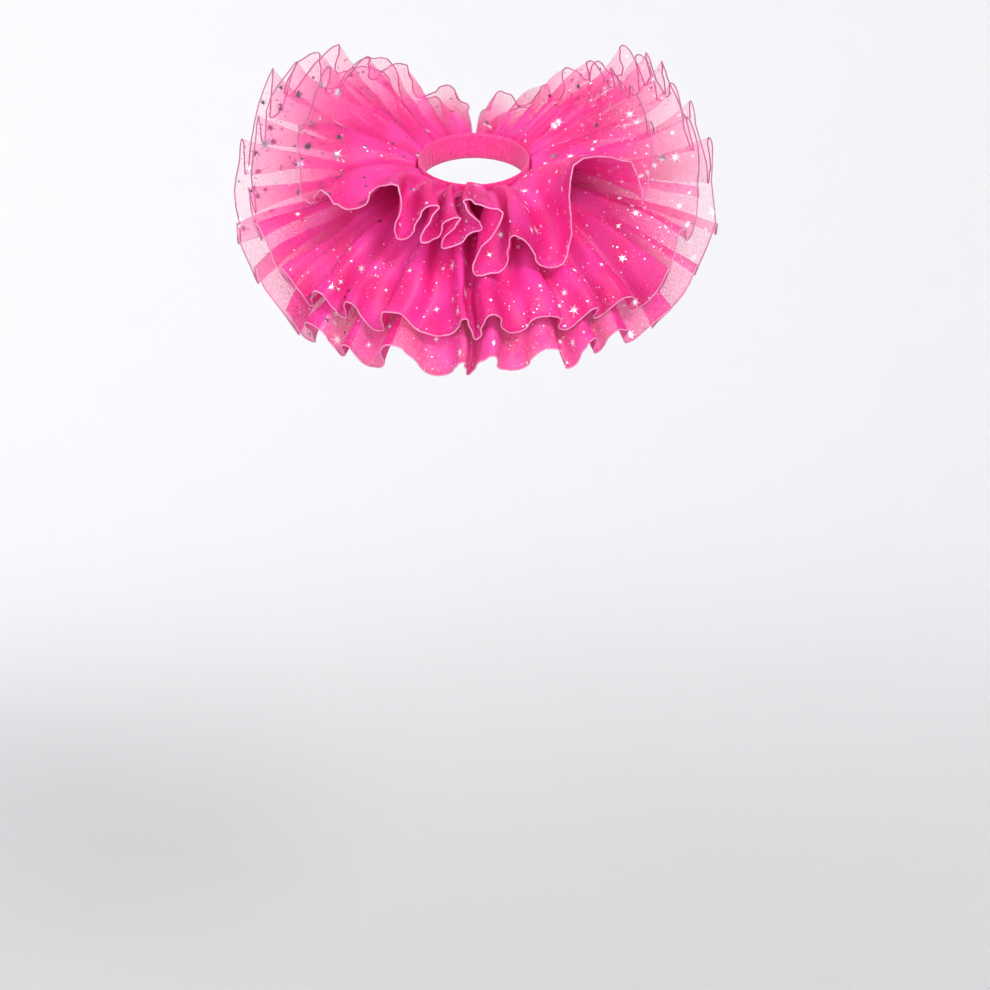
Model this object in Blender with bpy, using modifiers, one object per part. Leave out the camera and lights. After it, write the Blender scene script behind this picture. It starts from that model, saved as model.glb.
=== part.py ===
"""Ruff collar: three gathered organza ruffles on an elastic neckband, worn round a neck.

Metres, +Z up, the front faces -Y and +X is to the right in a front view.
The origin is the centre of the neck opening at the middle of the band's height.
"""

import math
import random
from collections import namedtuple

import bmesh
import bpy
from mathutils import Matrix, Vector

MM = 0.001

# Neckband, a ring that leans forward with the neck
NECK_RADIUS_MM = 60.0
BAND_WALL_MM = 2.0
BAND_HEIGHT_MM = 32.0
BAND_TILT_DEG = 20.0
BAND_SEGMENTS = 84

# Ruffles, strips of equal width all along, sewn to the band by one long edge
CLOTH_WALL_MM = 1.0
SEAM_GAP_MM = 0.3
SLANT_ALLOWANCE_MM = 0.3
SEAM_WAVE_MM = 2.6
FOLDS = 26
FOLD_SIDE_STEPS = 4
JOIN_DEG = 1.0

# Shares of a ruffle's width at which its points lie, from the seam out to the hem
RINGS = (0.0, 0.12, 0.35, 0.66, 1.0)

# How far out the cloth bends from the way it leaves the band to the way its hem hangs,
# and how far a fold's side leans: a share of the fold's spacing, scaled to a peak of one
BEND_SHARE = 0.5
SQUARE_SHARE = 0.22
LEAN_SCALE = 2.6

# How uneven the folds are: a share of their depth, and a turn
UNEVEN_SEED = 13
UNEVEN_WAVE = 0.35
UNEVEN_TURN_DEG = 2.0

# Where the folds fall on the band, counted in crests and troughs from the closure at the
# back: they are widest on the left shoulder.
Place = namedtuple("Place", "half seam_deg")

PLACES = (
    Place(0, -178.5),
    Place(9, -95.6),
    Place(39, 95.6),
    Place(2 * FOLDS, 178.5),
)

# The way the cloth lies round the neck, a row for each section of the lowest ruffle.
# seam_deg is the place on the band from the front, turn_deg and rise_deg the heading of
# the cloth from there to its hem, and wave_deg half the depth of a fold.
Section = namedtuple("Section", "seam_deg turn_deg rise_deg wave_deg")

SECTIONS = (
    Section(-180, -176, -5, 2),
    Section(-170, -169, 2, 3),
    Section(-158, -160, 10, 6),
    Section(-140, -138, 26, 9),
    Section(-120, -115, 22, 9),
    Section(-100, -101, 3, 8),
    Section(-80, -84, -21, 7),
    Section(-60, -67, -40, 6),
    Section(-35, -41, -44, 5),
    Section(0, 0, -45, 4),
    Section(35, 41, -45, 4.5),
    Section(60, 67, -40, 6),
    Section(80, 85, -20, 7),
    Section(100, 102, 3, 7),
    Section(120, 116, 21, 7),
    Section(136, 128, 23, 7),
    Section(160, 153, 2, 5),
    Section(180, 175, -6, 3),
)

# The three ruffles, a row for each: its seam's height on the band, its width, how much
# higher than the sections it lies at the back and in front, and how steeply it leaves.
Ruffle = namedtuple("Ruffle", "name seam_mm width_mm back_deg front_deg leave_deg")

LOWER = Ruffle("lower_ruffle", -10.0, 208.0, 0.0, 0.0, 0.0)
MIDDLE = Ruffle("middle_ruffle", 0.0, 188.0, 6.0, 5.0, 5.0)
TOP = Ruffle("top_ruffle", 10.0, 140.0, 8.0, 40.0, 22.0)

# The folds that the top ruffle throws over the chest, a row for each crest or trough:
# side is 1 on a crest and -1 in a trough, and bulge_deg is how far its sides lean out.
# cut is the share of the width that is left where a narrow ruffle follows a wide one.
Fold = namedtuple("Fold", "side seam_deg turn_deg rise_deg width_mm bulge_deg cut", defaults=(1.0,))

FRONT_FOLDS = (
    Fold(1.0, -95.6, -92, 16, 140, 2.5),
    Fold(-1.0, -83, -68, -13, 132, 2.0),
    Fold(1.0, -69, -50, -5, 132, 2.0),
    Fold(-1.0, -57, -34, -7, 136, 2.0),
    Fold(1.0, -44, -16, 6, 140, 3.5),
    Fold(-1.0, -35, -19, -14, 140, 3.5),
    Fold(1.0, -27, -2, 1, 140, 3.5),
    Fold(-1.0, -20, -15, -16, 140, 3.0),
    Fold(1.0, -14, 3, -5, 140, 2.5),
    Fold(-1.0, -10, -12, -18, 140, 2.5),
    Fold(-0.3, -6, 8, -9, 140, 1.0),
    Fold(0.5, -2, -4, 4, 140, 1.5),
    Fold(1.0, 3, 11, -1, 140, 4.0),
    Fold(-1.0, 12, 0, -31, 152, 8.0),
    Fold(1.0, 21, 7, -11, 140, 2.0),
    Fold(-1.0, 34, 26, -29, 144, 2.5),
    Fold(1.0, 54, 40, 16, 140, 11.0),
    Fold(-1.0, 76, 66, -12, 138, 3.0),
    Fold(1.0, 95.6, 90, 15, 142, 2.5),
)


def eased(share):
    """Ease a share from 0 to 1."""
    return share * share * (3 - 2 * share)


def section_at(seam_deg):
    """The section at any place on the band."""
    for low, high in zip(SECTIONS, SECTIONS[1:]):
        if seam_deg <= high.seam_deg:
            share = eased((seam_deg - low.seam_deg) / (high.seam_deg - low.seam_deg))
            return Section(*(a + (b - a) * share for a, b in zip(low, high)))
    return SECTIONS[-1]


def heading(turn_deg, rise_deg):
    """A unit vector that turns from the front and rises from level."""
    turn = math.radians(turn_deg)
    rise = math.radians(rise_deg)
    return Vector((math.cos(rise) * math.sin(turn), -math.cos(rise) * math.cos(turn), math.sin(rise)))


def band_point(seam_deg, radius_mm, height_mm):
    """A point on the band, which leans forward."""
    level = heading(seam_deg, 0.0) * radius_mm
    lean = Matrix.Rotation(math.radians(BAND_TILT_DEG), 3, "X")
    return lean @ Vector((level.x, level.y, height_mm))


def place_of(half):
    """Where on the band a crest or trough falls."""
    for low, high in zip(PLACES, PLACES[1:]):
        if half <= high.half:
            share = (half - low.half) / (high.half - low.half)
            return low.seam_deg + (high.seam_deg - low.seam_deg) * share
    return PLACES[-1].seam_deg


def even_fold(ruffle, half):
    """The crest or trough that the sections give, made uneven in the same way on each ruffle."""
    chance = random.Random(UNEVEN_SEED + half)
    seam_deg = place_of(half)
    row = section_at(seam_deg)
    side = 1.0 if half % 2 else -1.0
    front = max(0.0, math.cos(math.radians(seam_deg)))
    raised = ruffle.back_deg + (ruffle.front_deg - ruffle.back_deg) * front
    rise = row.rise_deg + raised + side * row.wave_deg * chance.uniform(1 - UNEVEN_WAVE, 1 + UNEVEN_WAVE)
    turn = row.turn_deg + chance.uniform(-UNEVEN_TURN_DEG, UNEVEN_TURN_DEG)
    return Fold(side, seam_deg, turn, rise, LOWER.width_mm, 0.0, ruffle.width_mm / LOWER.width_mm)


def even_folds(ruffle):
    """Every crest and trough round the neck, with sides as steep as their spacing lets them be."""
    folds = [even_fold(ruffle, half) for half in range(2 * FOLDS + 1)]
    squared = []
    for low, fold, high in zip([folds[0]] + folds, folds, folds[1:] + [folds[-1]]):
        gap = min(abs(near.turn_deg - fold.turn_deg) for near in (low, high) if near is not fold)
        squared.append(fold._replace(bulge_deg=SQUARE_SHARE * gap))
    return squared


def folds_of(ruffle):
    """Every crest and trough of a ruffle, in order round the neck."""
    folds = even_folds(ruffle)
    if ruffle is not TOP:
        return folds
    left = [fold for fold in folds if fold.seam_deg < FRONT_FOLDS[0].seam_deg - JOIN_DEG]
    right = [fold for fold in folds if fold.seam_deg > FRONT_FOLDS[-1].seam_deg + JOIN_DEG]
    return left + list(FRONT_FOLDS) + right


def cloth_line(ruffle, here, there, share):
    """The points from seam to hem, part of the way from one crest or trough to the next."""
    ease = (1 - math.cos(math.pi * share)) / 2
    side = here.side + (there.side - here.side) * ease
    seam_deg = here.seam_deg + (there.seam_deg - here.seam_deg) * share
    lean = (here.bulge_deg * (1 - share) - there.bulge_deg * share) * math.sin(math.pi * share)
    turn = here.turn_deg + (there.turn_deg - here.turn_deg) * share + lean * LEAN_SCALE
    rise = here.rise_deg + (there.rise_deg - here.rise_deg) * ease
    width = here.width_mm + (there.width_mm - here.width_mm) * share
    radius = NECK_RADIUS_MM + BAND_WALL_MM + SEAM_GAP_MM + SLANT_ALLOWANCE_MM
    seam = band_point(seam_deg, radius, ruffle.seam_mm + SEAM_WAVE_MM * side)
    bend = seam + heading(seam_deg, rise / 2 + ruffle.leave_deg) * width * BEND_SHARE
    hem = seam + heading(turn, rise) * width
    cut = here.cut + (there.cut - here.cut) * share
    outs = [ring * cut for ring in RINGS]
    return [seam * (1 - out) ** 2 + bend * 2 * out * (1 - out) + hem * out ** 2 for out in outs]


def cloth_lines(ruffle):
    """All the lines of a ruffle, in order round the neck."""
    folds = folds_of(ruffle)
    lines = []
    for here, there in zip(folds, folds[1:]):
        for step in range(FOLD_SIDE_STEPS):
            lines.append(cloth_line(ruffle, here, there, step / FOLD_SIDE_STEPS))
    lines.append(cloth_line(ruffle, folds[-2], folds[-1], 1.0))
    return lines


def finish_material(name, colour, roughness):
    """A plain cloth material."""
    material = bpy.data.materials.new(name)
    material.use_nodes = True
    shader = material.node_tree.nodes["Principled BSDF"]
    shader.inputs["Base Color"].default_value = (*colour, 1.0)
    shader.inputs["Roughness"].default_value = roughness
    shader.inputs["Metallic"].default_value = 0.0
    return material


def add_object(name, mesh, collection, material):
    """Put a mesh in the collar's collection."""
    piece = bpy.data.objects.new(name, mesh)
    collection.objects.link(piece)
    mesh.materials.append(material)
    return piece


def make_ruffle(ruffle, collection, material):
    """A gathered strip: an open sheet with the wall's thickness."""
    sheet = cloth_lines(ruffle)
    shape = bmesh.new()
    grid = [[shape.verts.new(point * MM) for point in line] for line in sheet]
    for left, right in zip(grid, grid[1:]):
        for low in range(len(RINGS) - 1):
            shape.faces.new((left[low], left[low + 1], right[low + 1], right[low]))
    mesh = bpy.data.meshes.new(ruffle.name)
    shape.to_mesh(mesh)
    shape.free()
    mesh.shade_smooth()
    piece = add_object(ruffle.name, mesh, collection, material)
    wall = piece.modifiers.new("wall", "SOLIDIFY")
    wall.thickness = CLOTH_WALL_MM * MM
    wall.offset = 0.0
    return piece


def make_band(collection, material):
    """The elastic casing round the neck."""
    bpy.ops.mesh.primitive_cylinder_add(
        vertices=BAND_SEGMENTS,
        radius=(NECK_RADIUS_MM + BAND_WALL_MM) * MM,
        depth=BAND_HEIGHT_MM * MM,
        end_fill_type="NOTHING",
        rotation=(math.radians(BAND_TILT_DEG), 0, 0),
    )
    piece = bpy.context.object
    piece.name = "neckband"
    piece.data.name = "neckband"
    for owner in list(piece.users_collection):
        owner.objects.unlink(piece)
    collection.objects.link(piece)
    piece.data.materials.append(material)
    piece.data.shade_smooth()
    wall = piece.modifiers.new("wall", "SOLIDIFY")
    wall.thickness = BAND_WALL_MM * MM
    wall.offset = -1.0
    return piece


def build_collar():
    """The whole collar."""
    for leftover in list(bpy.data.objects):
        bpy.data.objects.remove(leftover, do_unlink=True)
    collection = bpy.data.collections.new("ruff_collar")
    bpy.context.scene.collection.children.link(collection)
    organza = finish_material("organza", (0.83, 0.05, 0.29), 0.45)
    make_band(collection, finish_material("band_cloth", (0.80, 0.03, 0.24), 0.6))
    for ruffle in (LOWER, MIDDLE, TOP):
        make_ruffle(ruffle, collection, organza)


build_collar()
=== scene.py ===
"""Looks of the ruff collar: sheer printed ruffles, rolled hems and an elastic neckband.

Metres, +Z up, the front faces -Y. Sizes written in millimetres end in _mm.
"""

from __future__ import annotations

import logging
import math
import random
from collections.abc import Sequence
from dataclasses import dataclass, field, replace
from enum import Enum

import bpy
import numpy as np
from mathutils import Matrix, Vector


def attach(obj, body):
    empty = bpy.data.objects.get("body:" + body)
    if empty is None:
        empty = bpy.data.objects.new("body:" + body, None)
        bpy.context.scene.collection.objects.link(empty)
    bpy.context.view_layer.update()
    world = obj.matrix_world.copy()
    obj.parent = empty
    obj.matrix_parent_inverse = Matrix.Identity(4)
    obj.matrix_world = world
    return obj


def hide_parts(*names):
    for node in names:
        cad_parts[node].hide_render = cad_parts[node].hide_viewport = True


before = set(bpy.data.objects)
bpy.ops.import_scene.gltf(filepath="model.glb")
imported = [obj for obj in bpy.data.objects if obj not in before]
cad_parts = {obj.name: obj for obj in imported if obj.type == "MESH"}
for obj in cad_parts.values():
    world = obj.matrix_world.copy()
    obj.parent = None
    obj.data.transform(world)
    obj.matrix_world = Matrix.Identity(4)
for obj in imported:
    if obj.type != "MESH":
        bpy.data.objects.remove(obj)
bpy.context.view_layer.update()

LOG = logging.getLogger("ruff_collar")
MM = 0.001
BODY = "root"


class Held(Enum):
    """How a piece of cloth is held."""

    GATHERED = "gathered"


class Mark(Enum):
    """The kinds of mark in the foil print."""

    STAR = "stars"
    SPARK = "sparks"
    DOT = "dots"
    DUST = "dust"


# Shapes of the cloth


@dataclass(frozen=True)
class Section:
    """The way the cloth lies at one place round the neck."""

    seam_deg: float
    turn_deg: float
    rise_deg: float
    wave_deg: float


@dataclass(frozen=True)
class Place:
    """Where a crest or trough falls on the band, counted from the closure at the back."""

    half: int
    seam_deg: float


@dataclass(frozen=True)
class Fold:
    """One crest (side 1) or trough (side -1) of a ruffle."""

    side: float
    seam_deg: float
    turn_deg: float
    rise_deg: float
    width_mm: float
    bulge_deg: float
    cut: float = 1.0


@dataclass(frozen=True)
class Crease:
    """A soft ridge (or trough, if its depth is negative) that runs part of the way out."""

    seam_deg: float
    start: float
    end: float
    depth_mm: float
    spread_deg: float


SECTIONS = (
    Section(-180, -176, -5, 2),
    Section(-170, -169, 2, 3),
    Section(-158, -160, 10, 6),
    Section(-140, -138, 26, 9),
    Section(-120, -115, 22, 9),
    Section(-100, -101, 3, 8),
    Section(-80, -84, -21, 7),
    Section(-60, -67, -40, 6),
    Section(-35, -41, -44, 5),
    Section(0, 0, -45, 4),
    Section(35, 41, -45, 4.5),
    Section(60, 67, -40, 6),
    Section(80, 85, -20, 7),
    Section(100, 102, 3, 7),
    Section(120, 116, 21, 7),
    Section(136, 128, 23, 7),
    Section(160, 153, 2, 5),
    Section(180, 175, -6, 3),
)

PLACES = (
    Place(0, -178.5),
    Place(9, -95.6),
    Place(39, 95.6),
    Place(52, 178.5),
)

FRONT_FOLDS = (
    Fold(1.0, -95.6, -92, 16, 140, 2.5),
    Fold(-1.0, -83, -68, -13, 132, 2.0),
    Fold(1.0, -69, -50, -5, 132, 2.0),
    Fold(-1.0, -57, -34, -7, 136, 2.0),
    Fold(1.0, -44, -16, 6, 140, 3.5),
    Fold(-1.0, -35, -19, -14, 140, 3.5),
    Fold(1.0, -27, -2, 1, 140, 3.5),
    Fold(-1.0, -20, -15, -16, 140, 3.0),
    Fold(1.0, -14, 3, -5, 140, 2.5),
    Fold(-1.0, -10, -12, -18, 140, 2.5),
    Fold(-0.3, -6, 8, -9, 140, 1.0),
    Fold(0.5, -2, -4, 4, 140, 1.5),
    Fold(1.0, 3, 11, -1, 140, 4.0),
    Fold(-1.0, 12, 0, -31, 152, 8.0),
    Fold(1.0, 21, 7, -11, 140, 2.0),
    Fold(-1.0, 34, 26, -29, 144, 2.5),
    Fold(1.0, 54, 40, 16, 140, 11.0),
    Fold(-1.0, 76, 66, -12, 138, 3.0),
    Fold(1.0, 95.6, 90, 15, 142, 2.5),
)


@dataclass(frozen=True)
class BandCut:
    """Sizes of the neckband and of the lean of the neck."""

    radius_mm: float = 60.0
    wall_mm: float = 2.0
    height_mm: float = 32.0
    tilt_deg: float = 20.0

    def point(self, seam_deg: float, radius_mm: float, height_mm: float) -> np.ndarray:
        """A point on a ring of the leaning band, in millimetres."""
        turn, lean = math.radians(seam_deg), math.radians(self.tilt_deg)
        level_y = -radius_mm * math.cos(turn)
        return np.array(
            (
                radius_mm * math.sin(turn),
                level_y * math.cos(lean) - height_mm * math.sin(lean),
                level_y * math.sin(lean) + height_mm * math.cos(lean),
            )
        )


def heading(turn_deg: float, rise_deg: float) -> np.ndarray:
    """A unit vector that turns from the front and rises from level."""
    turn, rise = math.radians(turn_deg), math.radians(rise_deg)
    return np.array((math.cos(rise) * math.sin(turn), -math.cos(rise) * math.cos(turn), math.sin(rise)))


def eased(share: float | np.ndarray) -> float | np.ndarray:
    """Ease a share from 0 to 1."""
    return share * share * (3 - 2 * share)


def section_at(seam_deg: float) -> Section:
    """The section at any place on the band.

    Args:
        seam_deg: Place on the band, from the front.

    Returns:
        The row between its two neighbours in the table.
    """
    for low, high in zip(SECTIONS, SECTIONS[1:]):
        if seam_deg <= high.seam_deg:
            share = eased((seam_deg - low.seam_deg) / (high.seam_deg - low.seam_deg))
            ends = zip(vars(low).values(), vars(high).values())
            return Section(*(a + (b - a) * share for a, b in ends))
    return SECTIONS[-1]


def place_of(half: int) -> float:
    """Where on the band a crest or trough falls, in degrees from the front.

    Args:
        half: Number of the crest or trough from the closure.

    Returns:
        Its place between the two nearest rows of the table.
    """
    for low, high in zip(PLACES, PLACES[1:]):
        if half <= high.half:
            share = (half - low.half) / (high.half - low.half)
            return low.seam_deg + (high.seam_deg - low.seam_deg) * share
    return PLACES[-1].seam_deg


def mesh_of(name: str, points: np.ndarray, faces: Sequence[Sequence[int]]) -> bpy.types.Mesh:
    """A mesh from points in millimetres.

    Args:
        name: The mesh's name.
        points: Rows of x, y and z in millimetres.
        faces: Corners of each face.

    Returns:
        The mesh, shaded smooth.
    """
    mesh = bpy.data.meshes.new(name)
    mesh.from_pydata((points * MM).tolist(), [], faces)
    mesh.shade_smooth()
    return mesh


def set_uv(mesh: bpy.types.Mesh, name: str, values: np.ndarray) -> None:
    """Give a mesh a UV map.

    Args:
        mesh: The mesh.
        name: The map's name.
        values: Two numbers for each point of the mesh.
    """
    corners = np.zeros(len(mesh.loops), np.int32)
    mesh.loops.foreach_get("vertex_index", corners)
    layer = mesh.uv_layers.new(name=name)
    layer.data.foreach_set("uv", values.astype(np.float32)[corners].ravel())


def link(name: str, data: bpy.types.ID) -> bpy.types.Object:
    """Put new data in the scene under its name."""
    piece = bpy.data.objects.new(name, data)
    bpy.context.scene.collection.objects.link(piece)
    return piece


def baked(piece: bpy.types.Object) -> bpy.types.Object:
    """The piece as a plain mesh, with its modifiers taken in.

    Args:
        piece: An object with modifiers.

    Returns:
        A new object of the same name.
    """
    name = piece.name
    graph = bpy.context.evaluated_depsgraph_get()
    mesh = bpy.data.meshes.new_from_object(piece.evaluated_get(graph), depsgraph=graph)
    bpy.data.objects.remove(piece, do_unlink=True)
    mesh.name = name
    return link(name, mesh)


# Nodes and materials


class Value:
    """A node's output, with arithmetic on numbers."""

    def __init__(self, board: NodeTree, socket: bpy.types.NodeSocket) -> None:
        """Wrap an output of a node on the board."""
        self.board = board
        self.socket = socket

    def maths(self, operation: str, *others: object) -> Value:
        """One Math node on this value and others."""
        inputs = dict(enumerate((self, *others)))
        return self.board.add("ShaderNodeMath", {"operation": operation}, inputs)[0]

    def __add__(self, other: object) -> Value:
        """Sum."""
        return self.maths("ADD", other)

    def __mul__(self, other: object) -> Value:
        """Product."""
        return self.maths("MULTIPLY", other)

    def __sub__(self, other: object) -> Value:
        """Difference."""
        return self.maths("SUBTRACT", other)

    def __rsub__(self, other: object) -> Value:
        """Difference from a number."""
        return self.board.constant(other).maths("SUBTRACT", self)

    def __pow__(self, other: object) -> Value:
        """Power."""
        return self.maths("POWER", other)

    def __gt__(self, other: object) -> Value:
        """1 where this is more."""
        return self.maths("GREATER_THAN", other)

    def cosine(self) -> Value:
        """Cosine of an angle in radians."""
        return self.maths("COSINE")

    def ramp(self, low: float, high: float) -> Value:
        """0 below low, 1 above high and smooth between.

        Args:
            low: Where it leaves 0.
            high: Where it reaches 1.

        Returns:
            The eased share.
        """
        settings = {"interpolation_type": "SMOOTHSTEP"}
        inputs = {"Value": self, "From Min": low, "From Max": high}
        return self.board.add("ShaderNodeMapRange", settings, inputs)[0]


class NodeTree:
    """A tree of nodes, for a material or for geometry."""

    def __init__(self, tree: bpy.types.NodeTree) -> None:
        """Wrap an empty tree."""
        self.tree = tree

    def add(self, kind: str, settings: dict | None = None, inputs: dict | None = None) -> list[Value]:
        """Add a node of any type.

        Args:
            kind: The node's type.
            settings: Attributes that are set before its inputs.
            inputs: Values, wrapped sockets or lists of them, by the input's name or number.

        Returns:
            Its outputs, in order.
        """
        node = self.tree.nodes.new(kind)
        for key, value in (settings or {}).items():
            setattr(node, key, value)
        for key, value in (inputs or {}).items():
            socket = node.inputs[key]
            wrapped = value if isinstance(value, list) else [value]
            if isinstance(wrapped[0], Value):
                for one in wrapped:
                    self.tree.links.new(one.socket, socket)
            else:
                socket.default_value = value
        return [Value(self, output) for output in node.outputs]

    def constant(self, number: float) -> Value:
        """A number as a node."""
        node = self.add("ShaderNodeValue")[0]
        node.socket.default_value = number
        return node

    def noise(self, place: Value, scale: float, detail: float = 1.0, flat: bool = False) -> Value:
        """Noise from 0 to 1 at a scale per metre, in space or on a flat map."""
        settings = {"noise_dimensions": "2D" if flat else "3D"}
        inputs = {"Vector": place, "Scale": scale, "Detail": detail}
        return self.add("ShaderNodeTexNoise", settings, inputs)[0]

    def split(self, vector: Value) -> list[Value]:
        """A vector's three numbers."""
        return self.add("ShaderNodeSeparateXYZ", None, {0: vector})

    def vector(self, operation: str, first: object, second: object) -> Value:
        """One Vector Math node on two vectors, or on a vector and a scale."""
        key = 3 if operation == "SCALE" else 1
        return self.add("ShaderNodeVectorMath", {"operation": operation}, {0: first, key: second})[0]


class Board(NodeTree):
    """A material's nodes."""

    def __init__(self, name: str) -> None:
        """Start an empty material."""
        self.material = bpy.data.materials.new(name)
        self.material.use_nodes = True
        super().__init__(self.material.node_tree)
        self.tree.nodes.clear()

    def place(self) -> Value:
        """Place in the piece's own frame, in metres."""
        return self.add("ShaderNodeTexCoord")[3]

    def uv(self, layer: str) -> Value:
        """Place on one of the piece's UV maps."""
        return self.add("ShaderNodeUVMap", {"uv_map": layer})[0]

    def blend(self, share: Value, low: object, high: object) -> Value:
        """Colour from low to high by a share."""
        settings = {"data_type": "RGBA", "clamp_factor": True}
        return self.add("ShaderNodeMix", settings, {0: share, 6: low, 7: high})[2]

    def bump(self, height: Value, strength: float, distance_mm: float) -> Value:
        """A normal raised by a height from 0 to 1."""
        inputs = {"Height": height, "Strength": strength, "Distance": distance_mm * MM}
        return self.add("ShaderNodeBump", None, inputs)[0]

    def principled(self, inputs: dict[str, object]) -> Value:
        """A Principled shader with some of its inputs set."""
        return self.add("ShaderNodeBsdfPrincipled", None, inputs)[0]

    def finish(self, shader: Value) -> bpy.types.Material:
        """Join the shader to the output."""
        self.add("ShaderNodeOutputMaterial", None, {"Surface": shader})
        return self.material


Colour = tuple[float, float, float, float]


@dataclass(frozen=True)
class OrganzaFinish:
    """Sheer organza: how much of each face is thread, and its colours.

    The strip is gathered far tighter at the neck than its own folds show, so its cover rises there
    with the crowding that the lie map holds.
    """

    name: str
    cover: float = 0.145
    base: float = 0.7
    weave: float = 0.2
    clouds: float = 0.4
    slubs: float = 0.75
    weave_mm: float = 0.5
    clouds_per_m: float = 26.0
    slubs_per_m: float = 420.0
    thread: Colour = (0.96, 0.024, 0.29, 1.0)
    glow: Colour = (1.0, 0.052, 0.42, 1.0)
    glow_share: float = 0.25

    def material(self) -> bpy.types.Material:
        """The organza as a material."""
        board = Board(self.name)
        cloth = board.uv("cloth")
        crowding = board.split(board.uv("lie"))[0]
        warp, weft, _ = board.split(cloth)
        turns = math.tau / (self.weave_mm * MM)
        weave = (warp * turns).cosine() * 0.25 + (weft * turns).cosine() * 0.25 + 0.5
        cloud = board.noise(cloth, self.clouds_per_m, 0.0, flat=True)
        slub = board.noise(cloth, self.slubs_per_m, 0.0, flat=True)
        dense = weave * self.weave + cloud * self.clouds + slub * self.slubs + self.base - self.slubs / 2
        cover = 1 - (1 - dense * self.cover) ** crowding
        face = board.principled(
            {
                "Base Color": board.blend(cloud.ramp(0.3, 0.7), self.thread, self.glow),
                "Roughness": weave * 0.1 + 0.45,
                "Normal": board.bump(slub, 0.25, 0.6),
            }
        )
        back = board.add("ShaderNodeBsdfTranslucent", None, {"Color": self.glow})[0]
        lit = board.add("ShaderNodeMixShader", None, {0: self.glow_share, 1: face, 2: back})[0]
        clear = board.add("ShaderNodeBsdfTransparent")[0]
        return board.finish(board.add("ShaderNodeMixShader", None, {0: cover, 1: clear, 2: lit})[0])


@dataclass(frozen=True)
class FoilFinish:
    """Silver foil with painted light: a painted glint low in front and on the right, painted shade high on
    the left, and random patches.
    """

    name: str
    # The first colour is the foil's painted highlight, the second its painted shade.
    glint_foil: Colour = (0.96, 0.96, 0.98, 1.0)
    shaded_foil: Colour = (0.17, 0.14, 0.18, 1.0)
    painted_light_way: tuple[float, float, float] = (0.9, -0.5, -0.8)
    painted_light_from: float = 0.44
    painted_light_to: float = 0.56
    patches_per_m: float = 60.0
    grains_per_m: float = 900.0

    def material(self) -> bpy.types.Material:
        """The foil as a material: painted glint low in front and on the right, painted shade high on the
        left.
        """
        board = Board(self.name)
        place = board.place()
        patch = board.noise(place, self.patches_per_m)
        # Painted light: the noise is pulled by place towards the lamps' side, so the foil is painted
        # bright low in front and on the right and dark high on the left.
        for number, pull in zip(board.split(place), self.painted_light_way):
            patch = patch + number * pull
        painted_lit = patch.ramp(self.painted_light_from, self.painted_light_to)
        grain = board.noise(place, self.grains_per_m)
        shader = board.principled(
            {
                "Base Color": board.blend(painted_lit, self.shaded_foil, self.glint_foil),
                # Painted highlight: the lit part is made less metallic, so it shows as white lit by the
                # key lamp.
                "Metallic": 1 - painted_lit * 0.65,
                "Roughness": grain * 0.25 + 0.12,
                "Normal": board.bump(grain, 0.3, 0.2),
            }
        )
        return board.finish(shader)


@dataclass(frozen=True)
class ThreadFinish:
    """Overlocked thread wound round a rolled hem, with painted shade that makes it darker behind than in
    front.
    """

    name: str
    shade: Colour = (0.70, 0.13, 0.36, 1.0)
    light: Colour = (1.0, 0.36, 0.62, 1.0)
    # Painted shade colour for thread that faces away from the lamps.
    backlit_shade: Colour = (0.27, 0.07, 0.16, 1.0)
    wind_mm: float = 1.1
    patches_per_m: float = 40.0
    backlit_shade_from_m: float = -0.11
    backlit_shade_to_m: float = 0.03
    backlit_shade_share: float = 0.6

    def material(self) -> bpy.types.Material:
        """The thread as a material."""
        board = Board(self.name)
        run = board.split(board.uv("run"))[0]
        wound = (run * (math.tau / (self.wind_mm * MM))).cosine() * 0.5 + 0.5
        place = board.place()
        patch = board.noise(place, self.patches_per_m)
        share = wound * 0.5 + patch.ramp(0.35, 0.7) * 0.5
        # Painted shade: from the front towards the sides and back, the thread is blended to the dark
        # colour.
        behind = board.split(place)[1].ramp(self.backlit_shade_from_m, self.backlit_shade_to_m) * self.backlit_shade_share
        painted_lit = board.blend(share, self.shade, self.light)
        shader = board.principled(
            {
                "Base Color": board.blend(behind, painted_lit, self.backlit_shade),
                "Roughness": patch * 0.2 + 0.45,
                "Normal": board.bump(wound, 0.5, 0.4),
                "Sheen Weight": 0.3,
            }
        )
        return board.finish(shader)


@dataclass(frozen=True)
class BandFinish:
    """Organza folded double over elastic: dense, satin and finely ribbed."""

    name: str
    shade: Colour = (0.80, 0.020, 0.21, 1.0)
    light: Colour = (0.95, 0.045, 0.31, 1.0)
    clouds_per_m: float = 240.0
    threads_per_m: float = 1400.0

    def material(self) -> bpy.types.Material:
        """The band's cloth as a material."""
        board = Board(self.name)
        place = board.place()
        cloud = board.noise(place, self.clouds_per_m, 3.0)
        threads = board.noise(place, self.threads_per_m, 2.0)
        shader = board.principled(
            {
                "Base Color": board.blend(cloud.ramp(0.3, 0.7), self.shade, self.light),
                "Roughness": threads * 0.2 + 0.4,
                "Normal": board.bump(threads, 0.2, 0.4),
                "Sheen Weight": 0.25,
            }
        )
        return board.finish(shader)


# Geometry Nodes


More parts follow.
